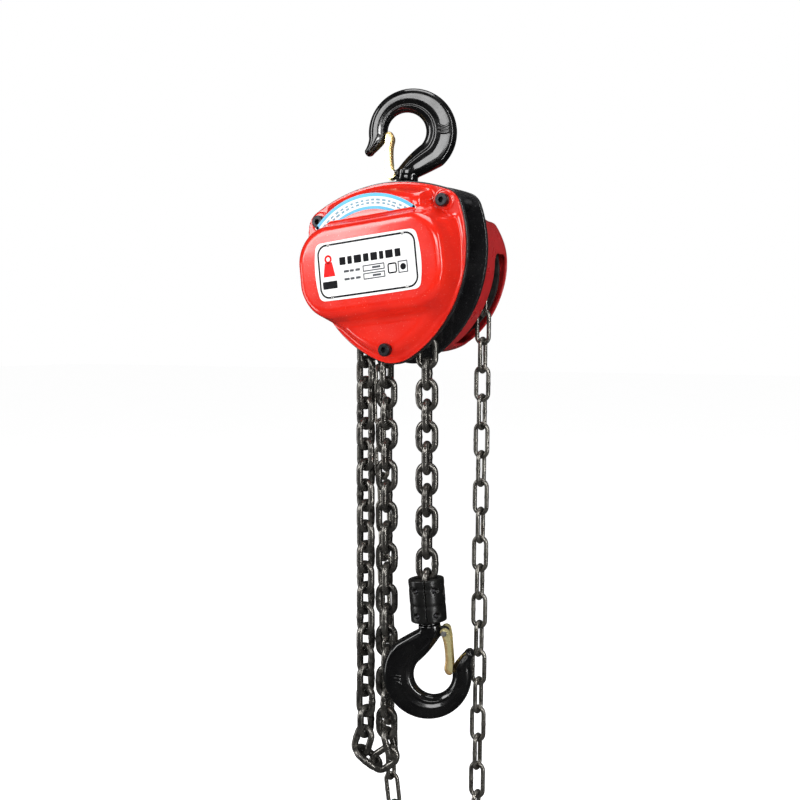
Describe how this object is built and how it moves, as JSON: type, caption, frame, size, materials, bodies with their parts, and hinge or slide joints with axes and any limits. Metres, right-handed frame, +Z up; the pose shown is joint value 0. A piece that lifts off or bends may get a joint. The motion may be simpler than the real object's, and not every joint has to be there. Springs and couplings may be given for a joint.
{
  "type": "hand chain hoist",
  "caption": "Hand chain hoist: red gear cover and wheel drum on black side plates, top and bottom swivel hooks with latches, load chain and endless hand chain.",
  "frame": {"origin": "inside of the top hook's bowl, at its highest point, where the hoist hangs from a rail or eye", "axes": "+X to the right seen from the gear cover, +Y from the gear cover to the hand wheel, +Z up"},
  "size_m": [0.1565, 0.1299, 0.6743],
  "materials": {
    "red_cover": "gloss red enamel",
    "red_drum": "gloss red enamel, duller",
    "black_plate": "gloss black enamel",
    "black_hook": "gloss black over forged steel",
    "black_screw": "black oxide",
    "zinc": "zinc plated",
    "gear_steel": "machined, oiled",
    "cast_wheel": "as cast, machined edges",
    "load_chain": "dark oiled alloy steel",
    "hand_chain": "dark grey steel",
    "bronze": "bronze, oiled",
    "latch_gold": "yellow zinc plated sheet",
    "brake_facing": "moulded friction facing",
    "spring_steel": "bright spring wire",
    "label": "white printed label"
  },
  "bodies": {
    "top_hook": {"top_hook": "black_hook", "top_hook_retainer": "zinc", "top_latch_pin": "zinc", "top_latch_spring": "spring_steel"},
    "top_latch": {"top_latch": "latch_gold"},
    "yoke": {"hook_yoke": "black_hook"},
    "frame": {"front_side_plate": "black_plate", "rear_side_plate": "black_plate", "outer_gear_plate": "zinc", "gear_cover": "red_cover", "hand_wheel_cover": "red_drum", "stay_bolts": "black_screw", "gear_cover_screws": "black_screw", "wheel_cover_nuts": "zinc", "gear_plate_studs": "zinc", "sheave_bushes": "bronze", "drive_shaft_bush": "bronze", "short_shaft_bushes": "bronze", "guide_roller_pins": "zinc", "chain_stripper": "cast_wheel", "tail_anchor_pin": "zinc", "pawl_pins": "zinc", "pawl_springs": "spring_steel", "nameplate": "label", "nameplate_rivets": "zinc", "arc_label": "label", "load_chain_fall_upper": "load_chain", "load_chain_wrap": "load_chain", "load_chain_slack": "load_chain", "hand_chain": "hand_chain", "hand_chain_wrap": "hand_chain"},
    "drive": {"drive_shaft": "gear_steel", "brake_hub": "gear_steel", "friction_discs": "brake_facing", "hand_wheel": "cast_wheel", "castle_nut": "zinc", "split_pin": "spring_steel"},
    "right_gears": {"disc_gear_right": "gear_steel", "short_shaft_right": "gear_steel"},
    "left_gears": {"disc_gear_left": "gear_steel", "short_shaft_left": "gear_steel"},
    "sheave": {"load_sheave": "cast_wheel", "spline_gear": "gear_steel", "sheave_circlip": "spring_steel", "sheave_inner_bushes": "bronze"},
    "ratchet": {"ratchet_wheel": "gear_steel"},
    "pawl_upper": {"pawl_upper": "gear_steel"},
    "pawl_lower": {"pawl_lower": "gear_steel"},
    "roller_right": {"guide_roller_right": "cast_wheel"},
    "roller_left": {"guide_roller_left": "cast_wheel"},
    "lower_block": {"hook_block_left": "black_hook", "hook_block_right": "black_hook", "hook_block_bolts": "black_screw", "load_chain_pin": "zinc", "load_chain_fall_lower": "load_chain"},
    "bottom_hook": {"bottom_hook": "black_hook", "bottom_hook_retainer": "zinc", "bottom_latch_pin": "zinc", "bottom_latch_spring": "spring_steel"},
    "bottom_latch": {"bottom_latch": "latch_gold"}
  },
  "joints": [
    {"name": "top_latch_turn", "type": "hinge", "parent": "top_hook", "child": "top_latch", "pos_m": [-0.01151, -0.00537, -0.053], "axis": [-0.4226, 0.9063, 0], "range_deg": [0, 33], "stiffness_Nm_per_rad": 0.01, "springref_deg": -34.38},
    {"name": "hook_swivel", "type": "hinge", "parent": "top_hook", "child": "yoke", "pos_m": [0, 0, -0.078], "axis": [0, 0, 1], "continuous": true},
    {"name": "body_swing", "type": "hinge", "parent": "yoke", "child": "frame", "pos_m": [0, 0, -0.078], "axis": [0, -1, 0], "range_deg": [-8, 0]},
    {"name": "hand_wheel_turn", "type": "hinge", "parent": "frame", "child": "drive", "pos_m": [-0.0083, 0, -0.134], "axis": [0, -1, 0], "range_deg": [0, 2880], "deforming": ["hand_chain_wrap", "hand_chain"]},
    {"name": "right_gears_turn", "type": "hinge", "parent": "frame", "child": "right_gears", "pos_m": [0.0275, 0, -0.13024], "axis": [0, -1, 0], "range_deg": [-577, 1]},
    {"name": "left_gears_turn", "type": "hinge", "parent": "frame", "child": "left_gears", "pos_m": [-0.0441, 0, -0.13776], "axis": [0, -1, 0], "range_deg": [-577, 1]},
    {"name": "sheave_turn", "type": "hinge", "parent": "frame", "child": "sheave", "pos_m": [-0.0083, 0, -0.134], "axis": [0, -1, 0], "range_deg": [-0.5, 144.5], "deforming": ["load_chain_wrap"]},
    {"name": "hook_lift", "type": "slide", "parent": "frame", "child": "lower_block", "axis": [0, 0, 1], "range_m": [-0.0003, 0.0723], "deforming": ["load_chain_fall_upper", "load_chain_fall_lower"]},
    {"name": "ratchet_turn", "type": "hinge", "parent": "frame", "child": "ratchet", "pos_m": [-0.0083, 0, -0.134], "axis": [0, -1, 0], "continuous": true},
    {"name": "pawl_upper_turn", "type": "hinge", "parent": "frame", "child": "pawl_upper", "pos_m": [-0.04494, 0, -0.1107], "axis": [0, -1, 0], "range_deg": [-14, 0], "stiffness_Nm_per_rad": 0.01, "springref_deg": 28.65},
    {"name": "pawl_lower_turn", "type": "hinge", "parent": "frame", "child": "pawl_lower", "pos_m": [0.02834, 0, -0.1573], "axis": [0, -1, 0], "range_deg": [-14, 0], "stiffness_Nm_per_rad": 0.01, "springref_deg": 28.65},
    {"name": "roller_right_turn", "type": "hinge", "parent": "frame", "child": "roller_right", "pos_m": [0.04046, 0, -0.1339], "axis": [0, -1, 0], "continuous": true},
    {"name": "roller_left_turn", "type": "hinge", "parent": "frame", "child": "roller_left", "pos_m": [-0.05755, 0, -0.13415], "axis": [0, -1, 0], "continuous": true},
    {"name": "bottom_hook_swivel", "type": "hinge", "parent": "lower_block", "child": "bottom_hook", "pos_m": [0.02081, 0.00057, -0.42994], "axis": [-0.0695, -0.0281, 0.9972], "continuous": true, "deforming": ["load_chain_slack"]},
    {"name": "bottom_latch_turn", "type": "hinge", "parent": "bottom_hook", "child": "bottom_latch", "pos_m": [0.03353, 0.00571, -0.44295], "axis": [-0.3746, 0.9272, 0], "range_deg": [0, 33], "stiffness_Nm_per_rad": 0.01, "springref_deg": -34.38}
  ],
  "couplings": [
    {"joint": "right_gears_turn", "follows": "hand_wheel_turn", "ratio": -0.2},
    {"joint": "left_gears_turn", "follows": "hand_wheel_turn", "ratio": -0.2},
    {"joint": "sheave_turn", "follows": "hand_wheel_turn", "ratio": 0.05},
    {"joint": "hook_lift", "follows": "hand_wheel_turn", "m_per_rad": 0.0014324}
  ]
}
